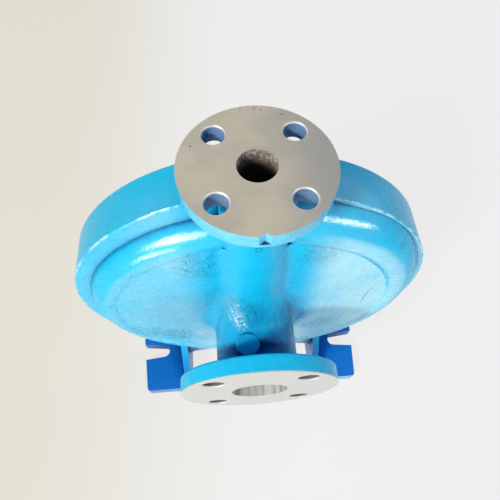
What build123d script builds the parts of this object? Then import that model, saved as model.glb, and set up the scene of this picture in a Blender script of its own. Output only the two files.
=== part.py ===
from build123d import *
from math import cos, radians, sin
import os

# Volute casing of a small end-suction process pump, cast in one piece.
# Frame: origin on the floor, under the crossing of the shaft axis and the discharge axis.
# X points right as seen from the suction side, Y points to the rear (the drive side), Z up.

# Standard distances of the pump
shaft_height = 209.55
discharge_reach = 215.9
suction_reach = 101.6

# Discharge flange, facing up
discharge_flange_radius = 53.975
discharge_flange_thickness = 14.3
discharge_bore_radius = 14.0
discharge_bolt_circle_radius = 39.6875
discharge_bolt_hole_radius = 8.0
discharge_hole_chamfer = 0.9
flange_bolt_count = 4
flange_bolt_angle = 45

# Suction flange, facing forward
suction_flange_radius = 76.2
suction_flange_thickness = 16.0
suction_bore_radius = 27.0
suction_bolt_circle_radius = 60.325
suction_bolt_hole_radius = 9.525
suction_hole_chamfer = 0.8
flange_back_round = 2.2

# Suction neck and the dished front wall
neck_radius = 40.0
neck_flare_radius = 20.0
neck_flange_round = 5.0
dish_front_depth = 26.0
dish_rim_depth = 15.0
dish_rim_radius = 139.0

# Round gauge boss on the top of the suction neck
boss_radius = 11.0
boss_side_offset = 9.5
boss_front_offset = 68.5
boss_top_rise = 46.5
boss_round = 1.5

# Rim that takes the frame adapter
rim_radius = 179.1
rim_front = 3.0
rim_back = 44.7
rim_edge_round = 1.6
register_radius = 152.0
cover_seat_depth = 20.0
rim_bolt_circle_radius = 165.5
rim_bolt_count = 8
rim_bolt_angle = 22.5
rim_bolt_hole_radius = 6.75
rim_bolt_hole_depth = 22.0
rim_chamfer = 1.0

# Scroll: outer tube of the volute and the water passage inside it
scroll_centre_depth = 4.0
scroll_start_angle = 100.0
scroll_end_angle = 436.0
scroll_start_outer_radius = 159.0
scroll_end_outer_radius = 177.0
scroll_start_tube_radius = 20.0
scroll_end_tube_radius = 24.0
scroll_growth_shares = (0, 0.08, 0.2, 0.3, 0.33, 0.35, 0.36, 0.37, 0.38, 0.38, 0.39, 0.47, 0.8, 0.97, 1)
tube_growth_shares = (0, 0, 0, 0, 0, 0, 0, 0, 0, 0, 0.05, 0.2, 0.6, 0.9, 1)
passage_growth_shares = (0, 0.1, 0.2, 0.3, 0.4, 0.48, 0.55, 0.62, 0.68, 0.74, 0.8, 0.86, 0.92, 0.97, 1)
passage_start_radius = 6.0
passage_end_radius = 13.5
scroll_wall = 11.5
nozzle_radius = 25.5
nozzle_flange_round = 5.0
nozzle_collar = 7.0

# Impeller room behind the front wall
impeller_room_radius = 134.0
exit_slot_radius = 144.0
exit_slot_half_width = 5.0
room_wall = 11.0
eye_round = 4.0

# Column that carries the discharge nozzle down and forward into the neck
column_bend_rise = 86.45
column_bend_front = 72.0
column_bend_inner_radius = 37.0
column_bend_start_radius = 34.0
column_root_round = 14.0
column_end_radius = 38.5
column_end_sink = 0.2
column_upper_steps = 3
column_bend_steps = 4

# Feet: slotted lugs, upright gussets and an arched web between them
lug_thickness = 18.0
lug_back = 22.0
lug_front = 54.5
lug_back_half_span = 152.0
lug_front_half_span = 145.5
lug_inner_half_span = 84.0
lug_corner_round = 4.0
slot_half_span = 123.825
slot_half_width = 8.2
slot_mouth_half_width = 11.5
gusset_thickness = 8.5
gusset_front_foot = 52.0
gusset_front_top = 6.0
gusset_top_drop = 123.55
web_front = 8.0
web_back = 8.0
web_top_drop = 117.55
arch_side_height = 34.0
arch_middle_height = 45.0
arch_middle_half_span = 46.0
arch_round = 12.0

# Small marks of the casting
nick_width = 8.4
nick_depth = 2.5
nick_offset = 0.6
nick_height = 10.0
cut_overrun = 2.0

# Derived planes and axes
discharge_face_height = shaft_height + discharge_reach
discharge_flange_back_height = discharge_face_height - discharge_flange_thickness
suction_flange_back = suction_reach - suction_flange_thickness
cover_seat = rim_back - cover_seat_depth
column_bend_height = shaft_height + column_bend_rise
gusset_top_height = shaft_height - gusset_top_drop
web_top_height = shaft_height - web_top_drop
shaft_axis = Axis((0, 0, shaft_height), (0, 1, 0))
full_turn = 360.0
right_angle = 90.0


def front_plane(y):
    """Plane across the shaft axis at depth y, looking to the suction side."""
    return Plane(origin=(0, y, shaft_height), x_dir=(1, 0, 0), z_dir=(0, -1, 0))


def rear_plane(y):
    """Plane across the shaft axis at depth y, looking to the drive side."""
    return Plane(origin=(0, y, shaft_height), x_dir=(-1, 0, 0), z_dir=(0, 1, 0))


def blend(start, end, share):
    """Value that lies the given share of the way from start to end."""
    return start + (end - start) * share


def scroll_plane(angle, radius, depth):
    """Plane across the scroll at one angle, its centre at the given radius."""
    turn = radians(angle)
    centre = (radius * cos(turn), depth, shaft_height + radius * sin(turn))
    return Plane(origin=centre, x_dir=(cos(turn), 0, sin(turn)), z_dir=(-sin(turn), 0, cos(turn)))


def scroll_stations(outside):
    """Planes and radii of the scroll's round sections, from the cutwater to the nozzle.

    outside gives the cast outer tube, and otherwise the water passage inside its wall.
    The last sections leave the circle by one arc that turns up into the nozzle.
    """
    stations = []
    count = len(scroll_growth_shares)
    for i in range(count):
        angle = blend(scroll_start_angle, scroll_end_angle, i / (count - 1))
        outer = blend(scroll_start_outer_radius, scroll_end_outer_radius, scroll_growth_shares[i])
        if outside:
            radius = blend(scroll_start_tube_radius, scroll_end_tube_radius, tube_growth_shares[i])
        else:
            radius = blend(passage_start_radius, passage_end_radius, passage_growth_shares[i])
            outer = outer - scroll_wall
        stations.append((scroll_plane(angle, outer - radius, scroll_centre_depth), radius))
    end_turn = scroll_end_angle - full_turn
    bend = (outer - radius) * cos(radians(end_turn)) / (1 - cos(radians(end_turn)))
    middle_x = (outer - radius + bend) * cos(radians(end_turn))
    middle_z = shaft_height + (outer - radius + bend) * sin(radians(end_turn))
    for share in (1 / 2, 1):
        turn = radians(blend(end_turn, 0, share))
        centre = (middle_x - bend * cos(turn), blend(scroll_centre_depth, 0, share), middle_z - bend * sin(turn))
        plane = Plane(origin=centre, x_dir=(cos(turn), 0, sin(turn)), z_dir=(-sin(turn), 0, cos(turn)))
        stations.append((plane, radius))
    return stations


with BuildPart() as scroll_tube:
    for plane, radius in scroll_stations(outside=True):
        with BuildSketch(plane):
            Circle(radius)
    loft()

with BuildPart() as scroll_passage:
    for plane, radius in scroll_stations(outside=False):
        with BuildSketch(plane):
            Circle(radius)
    loft()

column_bend_end = column_bend_rise - neck_radius + column_end_sink
column_bend_start_offset = column_bend_front - column_bend_inner_radius - column_bend_start_radius

with BuildPart() as column:
    for step in range(column_upper_steps):
        share = step / column_upper_steps
        height = blend(discharge_flange_back_height, column_bend_height, share)
        with BuildSketch(Plane.XY.offset(height)):
            with Locations((0, -column_bend_start_offset * share)):
                Circle(blend(nozzle_radius, column_bend_start_radius, share))
    for step in range(column_bend_steps + 1):
        share = step / column_bend_steps
        turn = radians(right_angle * share)
        radius = blend(column_bend_start_radius, column_end_radius, share)
        reach = blend(column_bend_inner_radius, column_bend_end, share) + radius
        centre = (0, reach * cos(turn) - column_bend_front, column_bend_height - reach * sin(turn))
        with BuildSketch(Plane(origin=centre, x_dir=(1, 0, 0), z_dir=(0, sin(turn), cos(turn)))):
            Circle(radius)
    loft()

discharge_passage_end_height = scroll_stations(outside=False)[-1][0].origin.Z - cut_overrun

with BuildPart() as suction_core:
    with BuildSketch(Plane.YZ) as core:
        with BuildLine():
            Polyline(
                (-suction_reach - cut_overrun, shaft_height),
                (-suction_reach - cut_overrun, shaft_height + suction_bore_radius),
                (room_wall - dish_front_depth, shaft_height + suction_bore_radius),
                (room_wall - dish_rim_depth, shaft_height + impeller_room_radius),
                (scroll_centre_depth - exit_slot_half_width, shaft_height + impeller_room_radius),
                (scroll_centre_depth - exit_slot_half_width, shaft_height + exit_slot_radius),
                (scroll_centre_depth + exit_slot_half_width, shaft_height + exit_slot_radius),
                (scroll_centre_depth + exit_slot_half_width, shaft_height + impeller_room_radius),
                (cover_seat, shaft_height + impeller_room_radius),
                (cover_seat, shaft_height + register_radius),
                (rim_back - rim_chamfer, shaft_height + register_radius),
                (rim_back + cut_overrun, shaft_height + register_radius + rim_chamfer + cut_overrun),
                (rim_back + cut_overrun, shaft_height),
                close=True,
            )
        make_face()
        eye_corner = (room_wall - dish_front_depth, shaft_height + suction_bore_radius)
        fillet(core.vertices().sort_by_distance(eye_corner)[0], radius=eye_round)
    revolve(axis=shaft_axis)

with BuildPart() as volute_casing:
    # Suction flange, neck, dished front wall and rim, turned about the shaft axis
    with BuildSketch(Plane.YZ) as meridian:
        with BuildLine():
            Polyline(
                (-suction_reach, shaft_height),
                (-suction_reach, shaft_height + suction_flange_radius),
                (-suction_flange_back, shaft_height + suction_flange_radius),
                (-suction_flange_back, shaft_height + neck_radius),
                (-dish_front_depth, shaft_height + neck_radius),
                (-dish_rim_depth, shaft_height + dish_rim_radius),
                (rim_front, shaft_height + dish_rim_radius),
                (rim_front, shaft_height + rim_radius),
                (rim_back, shaft_height + rim_radius),
                (rim_back, shaft_height),
                close=True,
            )
        make_face()
        rounds = (
            (-suction_flange_back, suction_flange_radius, flange_back_round),
            (-suction_flange_back, neck_radius, neck_flange_round),
            (-dish_front_depth, neck_radius, neck_flare_radius),
            (rim_front, rim_radius, rim_edge_round),
            (rim_back, rim_radius, rim_edge_round),
        )
        for depth, radius, size in rounds:
            fillet(meridian.vertices().sort_by_distance((depth, shaft_height + radius))[0], radius=size)
    revolve(axis=shaft_axis)

    # Column of the nozzle, which bends forward into the top of the neck, with a soft root
    add(column.part)
    column_root = edges(Select.NEW).filter_by(lambda edge: edge.center().Y < -dish_rim_depth)
    fillet(column_root, radius=column_root_round)

    # Scroll that runs round the rim and turns up into the discharge nozzle
    add(scroll_tube.part)

    # Discharge flange, turned with the round that leads into the nozzle
    with BuildSketch(Plane.XZ) as flange:
        with BuildLine():
            Polyline(
                (0, discharge_face_height),
                (discharge_flange_radius, discharge_face_height),
                (discharge_flange_radius, discharge_flange_back_height),
                (nozzle_radius, discharge_flange_back_height),
                (nozzle_radius, discharge_flange_back_height - nozzle_collar),
                (0, discharge_flange_back_height - nozzle_collar),
                close=True,
            )
        make_face()
        flange_rim = (discharge_flange_radius, discharge_flange_back_height)
        fillet(flange.vertices().sort_by_distance(flange_rim)[0], radius=flange_back_round)
        nozzle_root = (nozzle_radius, discharge_flange_back_height)
        fillet(flange.vertices().sort_by_distance(nozzle_root)[0], radius=nozzle_flange_round)
    revolve(axis=Axis.Z)

    # Nick down the front edge of the discharge flange
    with BuildSketch(Plane.XY.offset(discharge_face_height)):
        with BuildLine():
            Polyline(
                (nick_offset - nick_width / 2, -discharge_flange_radius - cut_overrun),
                (nick_offset - nick_width / 2, -discharge_flange_radius),
                (nick_offset, nick_depth - discharge_flange_radius),
                (nick_offset + nick_width / 2, -discharge_flange_radius),
                (nick_offset + nick_width / 2, -discharge_flange_radius - cut_overrun),
                close=True,
            )
        make_face()
    extrude(amount=-nick_height, mode=Mode.SUBTRACT)

    # Gauge boss on the neck
    with BuildSketch(Plane.XY.offset(shaft_height)):
        with Locations((-boss_side_offset, -boss_front_offset)):
            Circle(boss_radius)
    extrude(amount=boss_top_rise)
    boss_edge = edges().filter_by_position(Axis.Z, shaft_height + boss_top_rise, shaft_height + boss_top_rise)
    fillet(boss_edge, radius=boss_round)

    # Slotted lugs
    with BuildSketch(Plane.XY) as lug:
        with BuildLine():
            Polyline(
                (lug_inner_half_span, lug_back),
                (lug_back_half_span, lug_back),
                (lug_front_half_span, -lug_front),
                (lug_inner_half_span, -lug_front),
                close=True,
            )
        make_face()
        for corner in ((lug_back_half_span, lug_back), (lug_front_half_span, -lug_front)):
            fillet(lug.vertices().sort_by_distance(corner)[0], radius=lug_corner_round)
        with Locations((slot_half_span, 0)):
            Circle(slot_half_width, mode=Mode.SUBTRACT)
        with BuildLine():
            Polyline(
                (slot_half_span, slot_half_width),
                (lug_back_half_span + cut_overrun, slot_mouth_half_width),
                (lug_back_half_span + cut_overrun, -slot_mouth_half_width),
                (slot_half_span, -slot_half_width),
                close=True,
            )
        make_face(mode=Mode.SUBTRACT)
        mirror(about=Plane.YZ)
    extrude(amount=lug_thickness)

    # Upright gussets over the lugs, with sloping front edges
    with BuildSketch(Plane.YZ.offset(lug_inner_half_span)):
        with BuildLine():
            Polyline(
                (-gusset_front_foot, 0),
                (-gusset_front_foot, lug_thickness),
                (-gusset_front_top, gusset_top_height),
                (lug_back, gusset_top_height),
                (lug_back, 0),
                close=True,
            )
        make_face()
    right_gusset = extrude(amount=gusset_thickness)
    mirror(right_gusset, about=Plane.YZ)

    # Arched web between the gussets
    leg_outer = lug_inner_half_span + gusset_thickness
    with BuildSketch(Plane.XZ.offset(web_front)) as web:
        with BuildLine():
            Polyline(
                (0, web_top_height),
                (leg_outer, web_top_height),
                (leg_outer, 0),
                (lug_inner_half_span, 0),
                (lug_inner_half_span, arch_side_height),
                (arch_middle_half_span, arch_middle_height),
                (0, arch_middle_height),
                close=True,
            )
        make_face()
        arch_corner = web.vertices().sort_by_distance((lug_inner_half_span, arch_side_height))[0]
        fillet(arch_corner, radius=arch_round)
        mirror(about=Plane.YZ)
    extrude(amount=-(web_front + web_back))

    # Water ways
    add(suction_core.part, mode=Mode.SUBTRACT)
    add(scroll_passage.part, mode=Mode.SUBTRACT)
    with BuildSketch(Plane.XY.offset(discharge_face_height + cut_overrun)):
        Circle(discharge_bore_radius)
    extrude(amount=discharge_passage_end_height - discharge_face_height - cut_overrun, mode=Mode.SUBTRACT)

    # Flange bolt holes
    with BuildSketch(Plane.XY.offset(discharge_face_height)):
        with PolarLocations(discharge_bolt_circle_radius, flange_bolt_count, start_angle=flange_bolt_angle):
            Circle(discharge_bolt_hole_radius)
    extrude(amount=-discharge_flange_thickness, mode=Mode.SUBTRACT)
    discharge_edges = faces().sort_by(Axis.Z)[-1].inner_wires().edges()
    chamfer(discharge_edges.filter_by(lambda edge: edge.radius < discharge_bore_radius), discharge_hole_chamfer)
    with BuildSketch(front_plane(-suction_reach)):
        with PolarLocations(suction_bolt_circle_radius, flange_bolt_count, start_angle=flange_bolt_angle):
            Circle(suction_bolt_hole_radius)
    extrude(amount=-suction_flange_thickness, mode=Mode.SUBTRACT)
    suction_edges = faces().sort_by(Axis.Y)[0].inner_wires().edges()
    chamfer(suction_edges.filter_by(lambda edge: edge.radius < suction_bore_radius), suction_hole_chamfer)

    # Tapped holes in the rear face of the rim
    with BuildSketch(rear_plane(rim_back)):
        with PolarLocations(rim_bolt_circle_radius, rim_bolt_count, start_angle=rim_bolt_angle):
            Circle(rim_bolt_hole_radius)
    extrude(amount=-rim_bolt_hole_depth, mode=Mode.SUBTRACT)

volute_casing.part.label = "volute_casing"

os.makedirs("parts", exist_ok=True)
export_step(volute_casing.part, "parts/volute_casing.step")
print("solids", len(volute_casing.part.solids()), "valid", volute_casing.part.is_valid)
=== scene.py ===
from math import cos, radians, sin

import bpy
from mathutils import Euler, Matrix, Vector


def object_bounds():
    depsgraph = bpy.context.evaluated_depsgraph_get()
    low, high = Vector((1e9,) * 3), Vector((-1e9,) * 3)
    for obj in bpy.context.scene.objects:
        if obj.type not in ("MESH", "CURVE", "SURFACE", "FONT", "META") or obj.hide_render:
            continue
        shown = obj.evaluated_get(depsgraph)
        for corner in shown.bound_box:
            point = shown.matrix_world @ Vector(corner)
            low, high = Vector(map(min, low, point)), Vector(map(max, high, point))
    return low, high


# Looks of the cast volute casing: paint over cast skin, bare machined faces, floor, lamps and camera.
# Everything is in metres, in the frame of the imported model.

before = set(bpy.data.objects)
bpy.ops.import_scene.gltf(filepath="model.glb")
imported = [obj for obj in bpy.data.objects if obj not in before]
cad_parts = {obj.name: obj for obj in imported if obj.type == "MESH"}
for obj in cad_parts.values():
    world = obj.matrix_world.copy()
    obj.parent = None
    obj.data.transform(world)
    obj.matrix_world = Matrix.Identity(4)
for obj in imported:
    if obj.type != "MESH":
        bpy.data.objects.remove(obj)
cad_low, cad_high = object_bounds()
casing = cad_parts["volute_casing"]

# Places on the casing
shaft_height = 0.20955
discharge_top = cad_high.z
discharge_bore_radius = 0.0140
discharge_bore_foot = 0.30
discharge_bolt_offset = 0.02806
discharge_bolt_hole_radius = 0.0080
discharge_hole_chamfer = 0.0009
discharge_flange_thickness = 0.0143
nozzle_bend_radius = 0.0485
nozzle_bend_height = 0.4041
nozzle_way_limit = 0.0170
suction_front = cad_low.y
suction_bore_radius = 0.0270
suction_bore_limit = 0.0
suction_bolt_offset = 0.04266
suction_bolt_hole_radius = 0.009525
suction_bare_depth = 0.0009
suction_flange_thickness = 0.0160
neck_radius = 0.0400
rim_radius = 0.1791
rim_front = 0.0030
rim_back = 0.0447
rim_edge_round = 0.0016
register_radius = 0.1520
stud_circle_radius = 0.1655
stud_hole_radius = 0.00675
stud_hole_depth = 0.0220
cover_seat = 0.0247
dish_front_depth = 0.0260
dish_slope = 0.111
wall_middle = 0.0055
foot_top = 0.0180
feet_fade = 0.0900
# Where the painted reflection on the forward walls fades outward
reflection_edge = 0.1300
reflection_fade = 0.0350
skin = 0.0002

# Small marks of use and casting
face_pits = ((0.0019, 0.0509), (-0.0080, 0.0511), (0.0064, 0.0497), (0.0207, 0.0444), (-0.0436, 0.0188))
pit_radius = 0.0004
suction_face_dot = (0.0749, -0.1016, 0.2043)
ring_marks = ((0.1263, -0.0120, 0.3229), (0.0006, -0.0285, 0.3620))
ring_radius = 0.0026
ring_width = 0.0006
scratch_route = ((0.1162, -0.0175, 0.2068), (0.1166, -0.0171, 0.2361), (0.1208, -0.0164, 0.2441))
scratch_width = 0.0009
wrinkle_places = (
    (-0.1206, -0.0160, 0.1624),
    (-0.0901, -0.0185, 0.1522),
    (0.0774, -0.0200, 0.1569),
    (-0.0176, -0.0377, 0.2642),
    (0.0533, -0.0156, 0.3317),
    (-0.0525, -0.0170, 0.3220),
    (0.0280, -0.0440, 0.2450),
)
wrinkle_reach = 0.030

# Places where the paint lies thick and shines, each with its reach
thick_paint = (
    ((-0.0176, -0.0380, 0.2649), 0.022),
    ((-0.0660, -0.0080, 0.3500), 0.050),
    ((0.0700, -0.0097, 0.3655), 0.050),
)

# Noise patterns: scale per metre, detail, roughness and distortion
grain_pattern = (760, 3, 0.6)
peel_pattern = (190, 2, 0.5, 0.6)
peel_patch_pattern = (24, 2, 0.5)
dent_pattern = (75, 2, 0.5, 0.8)
swell_pattern = (34, 2, 0.5)
crease_pattern = (130, 3, 0.6, 1.8)
cloud_pattern = (14, 3, 0.5)
reflection_pattern = (18, 3, 0.6)
edge_highlight_pattern = (90, 3, 0.6)
stain_pattern = (32, 4, 0.6)
streak_pattern = (190, 2, 0.6)
speckle_pattern = (380, 3, 0.7)
metal_pattern = (900, 2, 0.6)

# Creases run one way, and the streaks of the turned suction bore run along it
crease_run = (0.6, -0.5, -0.6)
crease_squeeze_share = 0.65
streak_length_share = 0.05

# Relief of the surface, as depths of a full step, and the shares of two patterns in the cast grain
swell_depth = 0.0008
dent_depth = 0.0011
crease_depth = 0.0045
grain_depth = 0.0010
coat_crease_depth = 0.0012
coat_grain_depth = 0.00024
metal_depth = 0.00005
cast_depth = 0.0005
grain_share = 0.6
peel_share = 0.7

# Smooth steps: where a value starts and ends, then the results there if they aren't 0 and 1
peel_patch_step = (0.45, 0.60, 0.15, 1.0)
cloud_step = (0.40, 0.70, 0.0, 0.12)
fold_shade_step = (0.0, 0.014, 0.8, 0.0)
# Heights over which the painted shade near the feet fades, and openness over which the painted shade of
# enclosed places fades
foot_shade_step = (foot_top, foot_top + feet_fade)
open_shade_step = (0.20, 0.62)
corner_step = (0.42, 0.84, 0.95, 0.0)
facing_step = (-0.88, -0.985)
flange_facing_step = (-0.2, -0.6)
neck_clear_step = (neck_radius, neck_radius + reflection_fade)
reflection_across_step = (-0.13, 0.10, 0.28, 0.85)
reflection_outward_step = (reflection_edge, reflection_edge + reflection_fade, 1.0, 0.6)
reflection_patch_step = (0.30, 0.60, 0.6, 1.0)
edge_highlight_step = (0.45, 0.60)
paint_roughness_step = (0.3, 0.7, 0.24, 0.34)
stain_step = (0.35, 0.70)
grey_side_step = (0.0, 0.05, 0.0, 0.8)
streak_step = (0.45, 0.62)
speckle_step = (0.44, 0.60)
speckle_share_step = (0.0, 1.0, 0.4, 1.0)
mouth_shade_step = (0.002, 0.018, 1.0, 0.0)
floor_step = (-0.34, 0.02)

# How far a corner is looked for, and how strong the marks and the painted fold shade show
open_reach = 0.20
corner_reach = 0.050
corner_samples = 8
fold_middle = 0.55
edge_highlight_share = 0.7
mark_and_fold_shade_share = 0.75

# Gloss: specular level, weight of the coat and its roughness
thin_gloss = (0.07, 0.24, 0.08)
thick_gloss = (0.1, 1.0, 0.10)
no_gloss = (0.02, 0.0, 0.1)
metal_gloss = (0.5, 0.0, 0.1)
metal_share = 0.25
metal_roughness = 0.50
dull_roughness_rise = 0.30

# Colours
# Lit and shaded copies of the paint: the shaded one is painted shade near the feet and in enclosed places,
# and also the tone of random darker clouds
paint_lit = (0.008, 0.53, 0.84)
paint_deep_and_shaded = (0.004, 0.17, 0.60)
# Near black for painted shade in tight corners
paint_shade = (0.002, 0.03, 0.16)
# Pale paint for the painted reflection on forward walls and the painted highlight on the rim edge
painted_sheen = (0.50, 0.83, 0.88)
# Dark for marks, and for painted shade in the folds of wrinkled paint
paint_mark_and_fold_shade = (0.010, 0.13, 0.28)
hole_blue = (0.15, 0.27, 0.46)
hole_grey = (0.16, 0.15, 0.15)
face_tan = (0.56, 0.50, 0.40)
face_grey = (0.31, 0.31, 0.31)
face_tan_worn = (0.46, 0.42, 0.35)
face_bright = (0.58, 0.575, 0.56)
bore_streak = (0.30, 0.29, 0.28)
# Near black for painted shade inside the cast water ways
cast_inner_shade = (0.020, 0.019, 0.018)
cast_room = (0.075, 0.070, 0.065)
cast_tan = (0.50, 0.43, 0.39)
pit_dark = (0.06, 0.05, 0.04)
# Floor darker and warmer to the left, as painted shade and warm light
floor_left = (0.79, 0.76, 0.67)
floor_right = (0.88, 0.875, 0.865)
sky_light = (0.45, 0.66, 1.0)
warm_light = (1.0, 0.96, 0.87)
cool_light = (0.85, 0.94, 1.0)

# Room: floor, sky and wall
floor_half = 3.0
floor_gap = 0.0005
floor_glow_share = 0.90
sky_strength = 0.18
wall_strength = 1.0

# Lamps: name, azimuth and elevation in degrees, distance, width, height, watts and colour
lamp_target = Vector((0, 0, 0.25))
lighting_lamps = (
    ("key", -42, 38, 1.8, 0.24, 0.24, 32, warm_light),
    ("back_fill", 130, 35, 1.8, 0.60, 0.60, 11, cool_light),
    ("low_fill", 24, 6, 1.8, 0.80, 0.40, 9, cool_light),
)
mirrored_lamps = (
    ("window", -47, 26, 1.6, 0.95, 0.62, 42, warm_light),
    ("low_window", -42, -7, 1.0, 0.36, 0.16, 4.5, warm_light),
    ("side_window", 62, 22, 1.6, 0.44, 0.16, 9, warm_light),
)

# Camera of the photograph
image_width_px = 500
focal_length_px = 441.6
sensor_width_mm = 36.0
camera_near = 0.01
camera_place = (-0.02236, -0.18438, 0.65200)
camera_turn_deg = (28.4531, -0.8200, -4.4054)


def new_material(name):
    """Material with an empty node tree, its tree and its output."""
    material = bpy.data.materials.new(name)
    material.use_nodes = True
    tree = material.node_tree
    tree.nodes.clear()
    output = tree.nodes.new("ShaderNodeOutputMaterial")
    return material, tree, output


def put(tree, socket, value):
    """Joins a socket to another one, or sets its number or colour."""
    if isinstance(value, bpy.types.NodeSocket):
        tree.links.new(value, socket)
    elif hasattr(value, "__len__") and len(value) == 3 and socket.type == "RGBA":
        socket.default_value = (*value, 1)
    else:
        socket.default_value = value


def calc(tree, operation, *values):
    """Result of a Math node."""
    node = tree.nodes.new("ShaderNodeMath")
    node.operation = operation
    for socket, value in zip(node.inputs, values):
        put(tree, socket, value)
    return node.outputs[0]


def vector_calc(tree, operation, result, *values):
    """Result of a Vector Math node, its "Vector" or its "Value"."""
    node = tree.nodes.new("ShaderNodeVectorMath")
    node.operation = operation
    for socket, value in zip(node.inputs, values):
        put(tree, socket, value)
    return node.outputs[result]


def split_vector(tree, vector):
    """The x, y and z of a vector."""
    node = tree.nodes.new("ShaderNodeSeparateXYZ")
    put(tree, node.inputs[0], vector)
    return tuple(node.outputs)


def join_vector(tree, *parts):
    """Vector made of its x, y and z."""
    node = tree.nodes.new("ShaderNodeCombineXYZ")
    for socket, part in zip(node.inputs, parts):
        put(tree, socket, part)
    return node.outputs[0]


def scaled(tree, value, amount):
    """Value times an amount."""
    return calc(tree, "MULTIPLY", value, amount)


def both(tree, *masks):
    """Mask that holds where all of the given masks do."""
    result = masks[0]
    for mask in masks[1:]:
        result = calc(tree, "MULTIPLY", result, mask)
    return result


def either(tree, *masks):
    """Mask that holds where any of the given masks does."""
    result = masks[0]
    for mask in masks[1:]:
        result = calc(tree, "MAXIMUM", result, mask)
    return result


def above(tree, value, limit):
    """Mask of values above a limit."""
    return calc(tree, "GREATER_THAN", value, limit)


def below(tree, value, limit):
    """Mask of values below a limit."""
    return calc(tree, "LESS_THAN", value, limit)


def ramp(tree, value, low, high, start=0.0, end=1.0):
    """Value mapped smoothly from low..high to start..end."""
    node = tree.nodes.new("ShaderNodeMapRange")
    node.interpolation_type = "SMOOTHSTEP"
    for socket, number in zip(node.inputs, (value, low, high, start, end)):
        put(tree, socket, number)
    return node.outputs[0]


def mix(tree, share, first, second):
    """Colour blended from first to second."""
    node = tree.nodes.new("ShaderNodeMix")
    node.data_type = "RGBA"
    put(tree, node.inputs[0], share)
    put(tree, node.inputs[6], first)
    put(tree, node.inputs[7], second)
    return node.outputs[2]


def noise(tree, vector, scale, detail, roughness, distortion=0.0):
    """Grey value of a noise texture."""
    node = tree.nodes.new("ShaderNodeTexNoise")
    for name, value in (
        ("Vector", vector),
        ("Scale", scale),
        ("Detail", detail),
        ("Roughness", roughness),
        ("Distortion", distortion),
    ):
        put(tree, node.inputs[name], value)
    return node.outputs[0]


def length2(tree, a, b):
    """Length of the vector (a, b)."""
    squares = calc(tree, "ADD", calc(tree, "MULTIPLY", a, a), calc(tree, "MULTIPLY", b, b))
    return calc(tree, "SQRT", squares)


def near_place(tree, point, place, inner, outer):
    """Mask that is 1 within the inner distance of a place and fades to 0 at the outer one."""
    away = vector_calc(tree, "DISTANCE", "Value", point, place)
    return ramp(tree, away, inner, outer, 1.0, 0.0)


def near_line(tree, point, start, end, width):
    """Mask of a thin straight line between two places."""
    along = Vector(end) - Vector(start)
    offset = vector_calc(tree, "SUBTRACT", "Vector", point, start)
    forward = vector_calc(tree, "DOT_PRODUCT", "Value", offset, along)
    share = calc(tree, "DIVIDE", forward, along.length_squared)
    share = calc(tree, "MINIMUM", calc(tree, "MAXIMUM", share, 0.0), 1.0)
    steps = join_vector(tree, *(scaled(tree, share, part) for part in along))
    away = vector_calc(tree, "DISTANCE", "Value", offset, steps)
    return ramp(tree, away, width / 2, width, 1.0, 0.0)


def squeezed(tree, point, direction, amount):
    """Place squeezed along a direction, so that a pattern made from it runs that way."""
    along = Vector(direction).normalized()
    forward = scaled(tree, vector_calc(tree, "DOT_PRODUCT", "Value", point, along), amount)
    steps = join_vector(tree, *(scaled(tree, forward, part) for part in along))
    return vector_calc(tree, "SUBTRACT", "Vector", point, steps)


def bump(tree, height, depth, normal=None):
    """Normal that a height between 0 and 1 gives, at a depth in metres."""
    node = tree.nodes.new("ShaderNodeBump")
    put(tree, node.inputs["Strength"], 1.0)
    put(tree, node.inputs["Distance"], depth)
    put(tree, node.inputs["Height"], height)
    if normal is not None:
        put(tree, node.inputs["Normal"], normal)
    return node.outputs[0]


def openness(tree, reach):
    """How free the surface lies, between 0 in a deep corner and 1 in the open."""
    node = tree.nodes.new("ShaderNodeAmbientOcclusion")
    node.only_local = True
    node.samples = corner_samples
    put(tree, node.inputs["Distance"], reach)
    return node.outputs["AO"]


def shader(tree, color, metallic, roughness, normal, gloss, coat_normal=None):
    """Principled shader with fixed numbers for its gloss, whose coat can have a normal of its own."""
    specular, coat, coat_roughness = gloss
    node = tree.nodes.new("ShaderNodeBsdfPrincipled")
    for name, value in (
        ("Base Color", color),
        ("Metallic", metallic),
        ("Roughness", roughness),
        ("Normal", normal),
        ("Specular IOR Level", specular),
        ("Coat Weight", coat),
        ("Coat Roughness", coat_roughness),
    ):
        put(tree, node.inputs[name], value)
    if coat_normal is not None:
        put(tree, node.inputs["Coat Normal"], coat_normal)
    return node.outputs[0]


def mix_shaders(tree, share, first, second):
    """Shader blended from first to second."""
    node = tree.nodes.new("ShaderNodeMixShader")
    for socket, value in zip(node.inputs, (share, first, second)):
        put(tree, socket, value)
    return node.outputs[0]


def bolt_hole_distance(tree, first, second, offset):
    """Distance from the nearest of four holes, placed alike in all four quarters of a flange."""
    return length2(
        tree,
        calc(tree, "SUBTRACT", calc(tree, "ABSOLUTE", first), offset),
        calc(tree, "SUBTRACT", calc(tree, "ABSOLUTE", second), offset),
    )


def surface_places(tree, point):
    """Coordinates on the casing, with the rise over the shaft and the distance from it."""
    x, y, z = split_vector(tree, point)
    rise = calc(tree, "SUBTRACT", z, shaft_height)
    return {"x": x, "y": y, "z": z, "rise": rise, "from_shaft": length2(tree, x, rise)}


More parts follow.
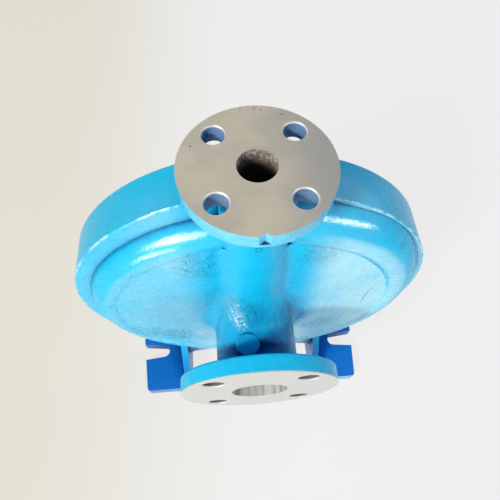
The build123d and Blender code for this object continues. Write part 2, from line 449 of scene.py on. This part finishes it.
def discharge_zones(tree, at):
    """Masks of the discharge flange, its holes, its bore and the way on into the scroll."""
    x, y, z = at["x"], at["y"], at["z"]
    from_hole = bolt_hole_distance(tree, x, y, discharge_bolt_offset)
    flange_foot = discharge_top - discharge_flange_thickness
    from_bend = length2(
        tree, calc(tree, "SUBTRACT", x, nozzle_bend_radius), calc(tree, "SUBTRACT", z, nozzle_bend_height)
    )
    off_way = length2(tree, calc(tree, "SUBTRACT", from_bend, nozzle_bend_radius), y)
    return {
        "discharge_face": above(tree, z, discharge_top - skin),
        "discharge_rim": above(tree, z, flange_foot - skin),
        "discharge_hole_edge": both(
            tree,
            below(tree, from_hole, discharge_bolt_hole_radius + discharge_hole_chamfer + skin),
            above(tree, z, discharge_top - discharge_hole_chamfer - skin),
        ),
        "discharge_hole": both(
            tree,
            below(tree, from_hole, discharge_bolt_hole_radius + skin),
            above(tree, z, flange_foot - skin),
            below(tree, z, discharge_top - discharge_hole_chamfer),
        ),
        "discharge_bore": both(
            tree,
            below(tree, length2(tree, x, y), discharge_bore_radius + skin),
            above(tree, z, discharge_bore_foot),
            below(tree, z, discharge_top - skin),
        ),
        "nozzle_way": both(
            tree,
            below(tree, off_way, nozzle_way_limit),
            below(tree, z, nozzle_bend_height + skin),
            below(tree, x, nozzle_bend_radius),
        ),
    }


def suction_zones(tree, at):
    """Masks of the suction face, its holes and its bore."""
    y = at["y"]
    from_hole = bolt_hole_distance(tree, at["x"], at["rise"], suction_bolt_offset)
    return {
        "suction_face": below(tree, y, suction_front + suction_bare_depth),
        "suction_hole": both(
            tree,
            below(tree, from_hole, suction_bolt_hole_radius + skin),
            below(tree, y, suction_front + suction_flange_thickness + skin),
            above(tree, y, suction_front + suction_bare_depth),
        ),
        "suction_bore": both(
            tree,
            below(tree, at["from_shaft"], suction_bore_radius + skin),
            below(tree, y, suction_bore_limit),
        ),
    }


def rear_zones(tree, at):
    """Masks of the cast impeller room, and of the rear seats, stud holes and undersides of the feet."""
    y, from_shaft = at["y"], at["from_shaft"]
    wall_lean = scaled(tree, calc(tree, "SUBTRACT", from_shaft, neck_radius), dish_slope)
    behind_wall = above(tree, calc(tree, "SUBTRACT", y, wall_lean), wall_middle - dish_front_depth)
    inside = both(tree, below(tree, from_shaft, register_radius + 2 * skin), behind_wall)
    return {
        "wet_room": both(tree, inside, below(tree, y, cover_seat - skin)),
        "rear_seats": either(
            tree,
            both(tree, inside, above(tree, y, cover_seat - skin)),
            both(tree, above(tree, y, rim_back - skin), below(tree, from_shaft, rim_radius)),
            both(
                tree,
                above(tree, y, rim_back - stud_hole_depth - skin),
                above(tree, from_shaft, stud_circle_radius - stud_hole_radius - skin),
                below(tree, from_shaft, stud_circle_radius + stud_hole_radius + skin),
            ),
            below(tree, at["z"], skin),
        ),
    }


def painted_zones(tree, at):
    """Masks of the dished front wall and of the rim's front edge."""
    y, from_shaft = at["y"], at["from_shaft"]
    return {
        "front_wall": both(
            tree, below(tree, y, rim_front), ramp(tree, from_shaft, neck_radius, neck_radius + wrinkle_reach)
        ),
        "rim_edge": both(
            tree,
            above(tree, from_shaft, rim_radius - rim_edge_round),
            below(tree, from_shaft, rim_radius + skin),
            above(tree, y, rim_front - skin),
            below(tree, y, rim_front + rim_edge_round),
        ),
    }


def surface_zones(tree, point):
    """Coordinates and all masks of the casing, by place alone."""
    at = surface_places(tree, point)
    return {
        **at,
        **discharge_zones(tree, at),
        **suction_zones(tree, at),
        **rear_zones(tree, at),
        **painted_zones(tree, at),
    }


def paint_patterns(tree, point):
    """Patterns that the relief, the marks, the painted fold shade and the roughness of the paint share."""
    wrinkled = either(
        tree, *(near_place(tree, point, place, wrinkle_reach / 3, wrinkle_reach) for place in wrinkle_places)
    )
    run = squeezed(tree, point, crease_run, crease_squeeze_share)
    return {
        "peel": noise(tree, point, *peel_pattern),
        "creases": noise(tree, run, *crease_pattern),
        "wrinkled": wrinkled,
    }


def paint_normals(tree, point, zones, patterns):
    """Normal of the paint, and a finer one for the coat, which breaks up what it mirrors."""
    grain = noise(tree, point, *grain_pattern)
    dents = noise(tree, point, *dent_pattern)
    swell = noise(tree, point, *swell_pattern)
    patch = ramp(tree, noise(tree, point, *peel_patch_pattern), *peel_patch_step)
    peel = both(tree, patterns["peel"], patch)
    cast = calc(tree, "ADD", scaled(tree, grain, grain_share), scaled(tree, peel, peel_share))
    creased = both(tree, patterns["creases"], patterns["wrinkled"])
    normal = bump(tree, swell, swell_depth)
    normal = bump(tree, both(tree, dents, zones["front_wall"]), dent_depth, normal)
    normal = bump(tree, creased, crease_depth, normal)
    normal = bump(tree, cast, grain_depth, normal)
    coat_normal = bump(tree, creased, coat_crease_depth)
    coat_normal = bump(tree, cast, coat_grain_depth, coat_normal)
    return normal, coat_normal


def marks_and_fold_shade(tree, point, patterns):
    """Mask of the scratch and the ring marks, and of painted shade in the folds of wrinkled paint."""
    marks = [
        near_line(tree, point, start, end, scratch_width)
        for start, end in zip(scratch_route, scratch_route[1:])
    ]
    for place in ring_marks:
        away = vector_calc(tree, "DISTANCE", "Value", point, place)
        off_ring = calc(tree, "ABSOLUTE", calc(tree, "SUBTRACT", away, ring_radius))
        marks.append(ramp(tree, off_ring, ring_width / 2, ring_width, 1.0, 0.0))
    # Painted shade along the folds of wrinkled paint
    off_fold = calc(tree, "ABSOLUTE", calc(tree, "SUBTRACT", patterns["creases"], fold_middle))
    marks.append(both(tree, patterns["wrinkled"], ramp(tree, off_fold, *fold_shade_step)))
    return either(tree, *marks)


def painted_reflection(tree, point, zones):
    """Mask of the painted reflection: a pale sheen on the walls and the flange rim that face forward,
    stronger to the right and in patches.
    """
    facing = split_vector(tree, tree.nodes.new("ShaderNodeNewGeometry").outputs["Normal"])[1]
    from_column = length2(tree, zones["x"], calc(tree, "MINIMUM", zones["rise"], 0.0))
    wall = both(
        tree,
        ramp(tree, facing, *facing_step),
        below(tree, zones["y"], rim_front + skin),
        ramp(tree, from_column, *neck_clear_step),
    )
    flange = both(tree, zones["discharge_rim"], ramp(tree, facing, *flange_facing_step))
    return both(
        tree,
        either(tree, wall, flange),
        ramp(tree, zones["x"], *reflection_across_step),
        ramp(tree, zones["from_shaft"], *reflection_outward_step),
        ramp(tree, noise(tree, point, *reflection_pattern), *reflection_patch_step),
    )


def paint_color(tree, point, zones, patterns, corner):
    """Colour of the paint: painted shade near the feet, in corners and in folds, a painted reflection on
    forward walls, a painted highlight on the rim edge, random darker clouds and marks.
    """
    # Painted shade: the paint turns to its shaded copy near the feet and where the surface lies enclosed,
    # and to its lit copy in the open
    raised = ramp(tree, zones["z"], *foot_shade_step)
    free = both(tree, raised, ramp(tree, openness(tree, open_reach), *open_shade_step))
    cloud = ramp(tree, noise(tree, point, *cloud_pattern), *cloud_step)
    # Painted highlight along the rim's front edge, broken up by noise
    edge_highlight = both(tree, zones["rim_edge"], ramp(tree, noise(tree, point, *edge_highlight_pattern), *edge_highlight_step))
    color = mix(tree, free, paint_deep_and_shaded, paint_lit)
    # Painted shade in tight corners, near black
    color = mix(tree, corner, color, paint_shade)
    color = mix(tree, cloud, color, paint_deep_and_shaded)
    # Painted reflection: pale sheen on the walls that face forward
    color = mix(tree, painted_reflection(tree, point, zones), color, painted_sheen)
    # Painted highlight on the rim edge
    color = mix(tree, scaled(tree, edge_highlight, edge_highlight_share), color, painted_sheen)
    # Marks, and painted shade in the folds
    return mix(tree, scaled(tree, marks_and_fold_shade(tree, point, patterns), mark_and_fold_shade_share), color, paint_mark_and_fold_shade)


def painted_finish(tree, point, zones):
    """Enamel over rough cast skin, with a strong coat where it lies thick and none in tight corners."""
    patterns = paint_patterns(tree, point)
    normal, coat_normal = paint_normals(tree, point, zones, patterns)
    # Tight corners: painted shade in the colour, and no gloss
    corner = ramp(tree, openness(tree, corner_reach), *corner_step)
    color = paint_color(tree, point, zones, patterns, corner)
    roughness = ramp(tree, patterns["peel"], *paint_roughness_step)
    thin = shader(tree, color, 0.0, roughness, normal, thin_gloss, coat_normal)
    thick = shader(tree, color, 0.0, roughness, normal, thick_gloss, coat_normal)
    dull = shader(tree, color, 0.0, roughness, normal, no_gloss)
    shining = either(
        tree, *(near_place(tree, point, place, reach / 2, reach) for place, reach in thick_paint)
    )
    return mix_shaders(tree, corner, mix_shaders(tree, shining, thin, thick), dull)


def cast_color(tree, point, zones):
    """Colour of the cast water ways: near black inside as painted shade, lighter and speckled near the
    discharge mouth.
    """
    depth = calc(tree, "SUBTRACT", discharge_top, zones["z"])
    speckle = ramp(tree, noise(tree, point, *speckle_pattern), *speckle_step)
    # Painted shade: the speckled cast colour near the mouth turns to near black deeper inside
    speckled = both(tree, ramp(tree, speckle, *speckle_share_step), ramp(tree, depth, *mouth_shade_step))
    color = mix(tree, speckled, cast_inner_shade, cast_tan)
    return mix(tree, zones["wet_room"], color, cast_room)


def bare_color(tree, point, zones, cast_way):
    """Colour of the machined faces, the bores, the holes and the small pits."""
    stained = ramp(tree, noise(tree, point, *stain_pattern), *stain_step)
    color = mix(tree, stained, face_tan, face_tan_worn)
    color = mix(tree, ramp(tree, zones["x"], *grey_side_step), color, face_grey)
    bright = either(tree, zones["suction_face"], zones["suction_bore"], zones["discharge_hole_edge"])
    color = mix(tree, bright, color, face_bright)

    along_bore = join_vector(tree, zones["x"], scaled(tree, zones["y"], streak_length_share), zones["z"])
    streaks = ramp(tree, noise(tree, along_bore, *streak_pattern), *streak_step)
    color = mix(tree, both(tree, zones["suction_bore"], streaks), color, bore_streak)
    color = mix(tree, cast_way, color, cast_color(tree, point, zones))
    color = mix(tree, zones["discharge_hole"], color, hole_blue)
    color = mix(tree, zones["suction_hole"], color, hole_grey)

    pits = [(x, y, discharge_top) for x, y in face_pits]
    pits.append(suction_face_dot)
    pitted = either(tree, *(near_place(tree, point, pit, pit_radius, 2 * pit_radius) for pit in pits))
    return mix(tree, pitted, color, pit_dark)


def bare_finish(tree, point, zones):
    """Bare metal: turned faces, dull walls of the holes and the cast water ways."""
    cast_way = either(tree, zones["discharge_bore"], zones["nozzle_way"], zones["wet_room"])
    color = bare_color(tree, point, zones, cast_way)
    dull = either(tree, cast_way, zones["discharge_hole"], zones["suction_hole"])
    roughness = calc(tree, "ADD", metal_roughness, scaled(tree, dull, dull_roughness_rise))
    normal = bump(tree, noise(tree, point, *metal_pattern), metal_depth)
    normal = bump(tree, both(tree, dull, noise(tree, point, *speckle_pattern)), cast_depth, normal)
    return shader(tree, color, metal_share, roughness, normal, metal_gloss)


def casting_material():
    """Paint on the cast skin, and bare metal on the machined faces, in the holes and in the bores."""
    material, tree, output = new_material("casing_finish")
    point = tree.nodes.new("ShaderNodeTexCoord").outputs["Object"]
    zones = surface_zones(tree, point)
    bare_zones = (
        "discharge_face",
        "discharge_hole_edge",
        "discharge_hole",
        "discharge_bore",
        "nozzle_way",
        "suction_face",
        "suction_hole",
        "suction_bore",
        "wet_room",
        "rear_seats",
    )
    bare = either(tree, *(zones[name] for name in bare_zones))
    paint = painted_finish(tree, point, zones)
    metal = bare_finish(tree, point, zones)
    put(tree, output.inputs["Surface"], mix_shaders(tree, bare, paint, metal))
    return material


def seen_ray(tree):
    """Mask of the rays from the camera and of those that make reflections."""
    path = tree.nodes.new("ShaderNodeLightPath").outputs
    return either(tree, path["Is Camera Ray"], path["Is Glossy Ray"], path["Is Transmission Ray"])


def floor_material():
    """Pale floor that shows near its own colour to the camera and in reflections, and keeps the shadow."""
    material, tree, output = new_material("floor_finish")
    x = split_vector(tree, tree.nodes.new("ShaderNodeTexCoord").outputs["Object"])[0]
    # Painted light: the floor turns darker and warmer to the left
    color = mix(tree, ramp(tree, x, *floor_step), floor_left, floor_right)
    diffuse = tree.nodes.new("ShaderNodeBsdfDiffuse")
    put(tree, diffuse.inputs["Color"], color)
    glow = tree.nodes.new("ShaderNodeEmission")
    put(tree, glow.inputs["Color"], color)
    glow_share = scaled(tree, seen_ray(tree), floor_glow_share)
    surface = mix_shaders(tree, glow_share, diffuse.outputs[0], glow.outputs[0])
    put(tree, output.inputs["Surface"], surface)
    return material


def add_floor():
    """Square floor just under the feet."""
    mesh = bpy.data.meshes.new("floor")
    turns = ((-1, -1), (1, -1), (1, 1), (-1, 1))
    corners = [(x * floor_half, y * floor_half, 0) for x, y in turns]
    mesh.from_pydata(corners, [], [(0, 1, 2, 3)])
    floor = bpy.data.objects.new("floor", mesh)
    floor.location.z = cad_low.z - floor_gap
    floor.data.materials.append(floor_material())
    bpy.context.scene.collection.objects.link(floor)


def add_lamp(name, azimuth, elevation, distance, width, height, watts, color, glossy=True, diffuse=True):
    """Area lamp that looks at the casing, placed by its direction seen from the front."""
    turn, rise = radians(azimuth), radians(elevation)
    away = Vector((sin(turn) * cos(rise), -cos(turn) * cos(rise), sin(rise)))
    lamp = bpy.data.lights.new(name, "AREA")
    lamp.shape = "RECTANGLE"
    lamp.size, lamp.size_y = width, height
    lamp.energy = watts
    lamp.color = color
    item = bpy.data.objects.new(name, lamp)
    item.location = lamp_target + away * distance
    item.rotation_euler = (-away).to_track_quat("-Z", "Y").to_euler()
    item.visible_glossy = glossy
    item.visible_diffuse = diffuse
    item.visible_camera = False
    bpy.context.scene.collection.objects.link(item)


def add_world():
    """Weak bluish light from all sides, and a pale wall to the camera and in reflections."""
    world = bpy.data.worlds.new("studio")
    world.use_nodes = True
    tree = world.node_tree
    sky = tree.nodes["Background"]
    put(tree, sky.inputs["Color"], sky_light)
    put(tree, sky.inputs["Strength"], sky_strength)
    wall = tree.nodes.new("ShaderNodeBackground")
    put(tree, wall.inputs["Color"], floor_right)
    put(tree, wall.inputs["Strength"], wall_strength)
    surface = mix_shaders(tree, seen_ray(tree), sky.outputs[0], wall.outputs[0])
    put(tree, tree.nodes["World Output"].inputs["Surface"], surface)
    bpy.context.scene.world = world


def add_camera():
    """Camera that looks down on the casing from the suction side."""
    camera = bpy.data.cameras.new("camera")
    camera.sensor_width = sensor_width_mm
    camera.lens = focal_length_px / image_width_px * sensor_width_mm
    camera.clip_start = camera_near
    item = bpy.data.objects.new("camera", camera)
    item.location = camera_place
    item.rotation_euler = Euler([radians(angle) for angle in camera_turn_deg])
    bpy.context.scene.collection.objects.link(item)
    bpy.context.scene.camera = item


for material_slot in casing.material_slots:
    material_slot.material = casting_material()

add_floor()
add_world()
for row in lighting_lamps:
    add_lamp(*row, glossy=False)
for row in mirrored_lamps:
    add_lamp(*row, diffuse=False)
add_camera()
bpy.context.scene.view_settings.view_transform = "Standard"
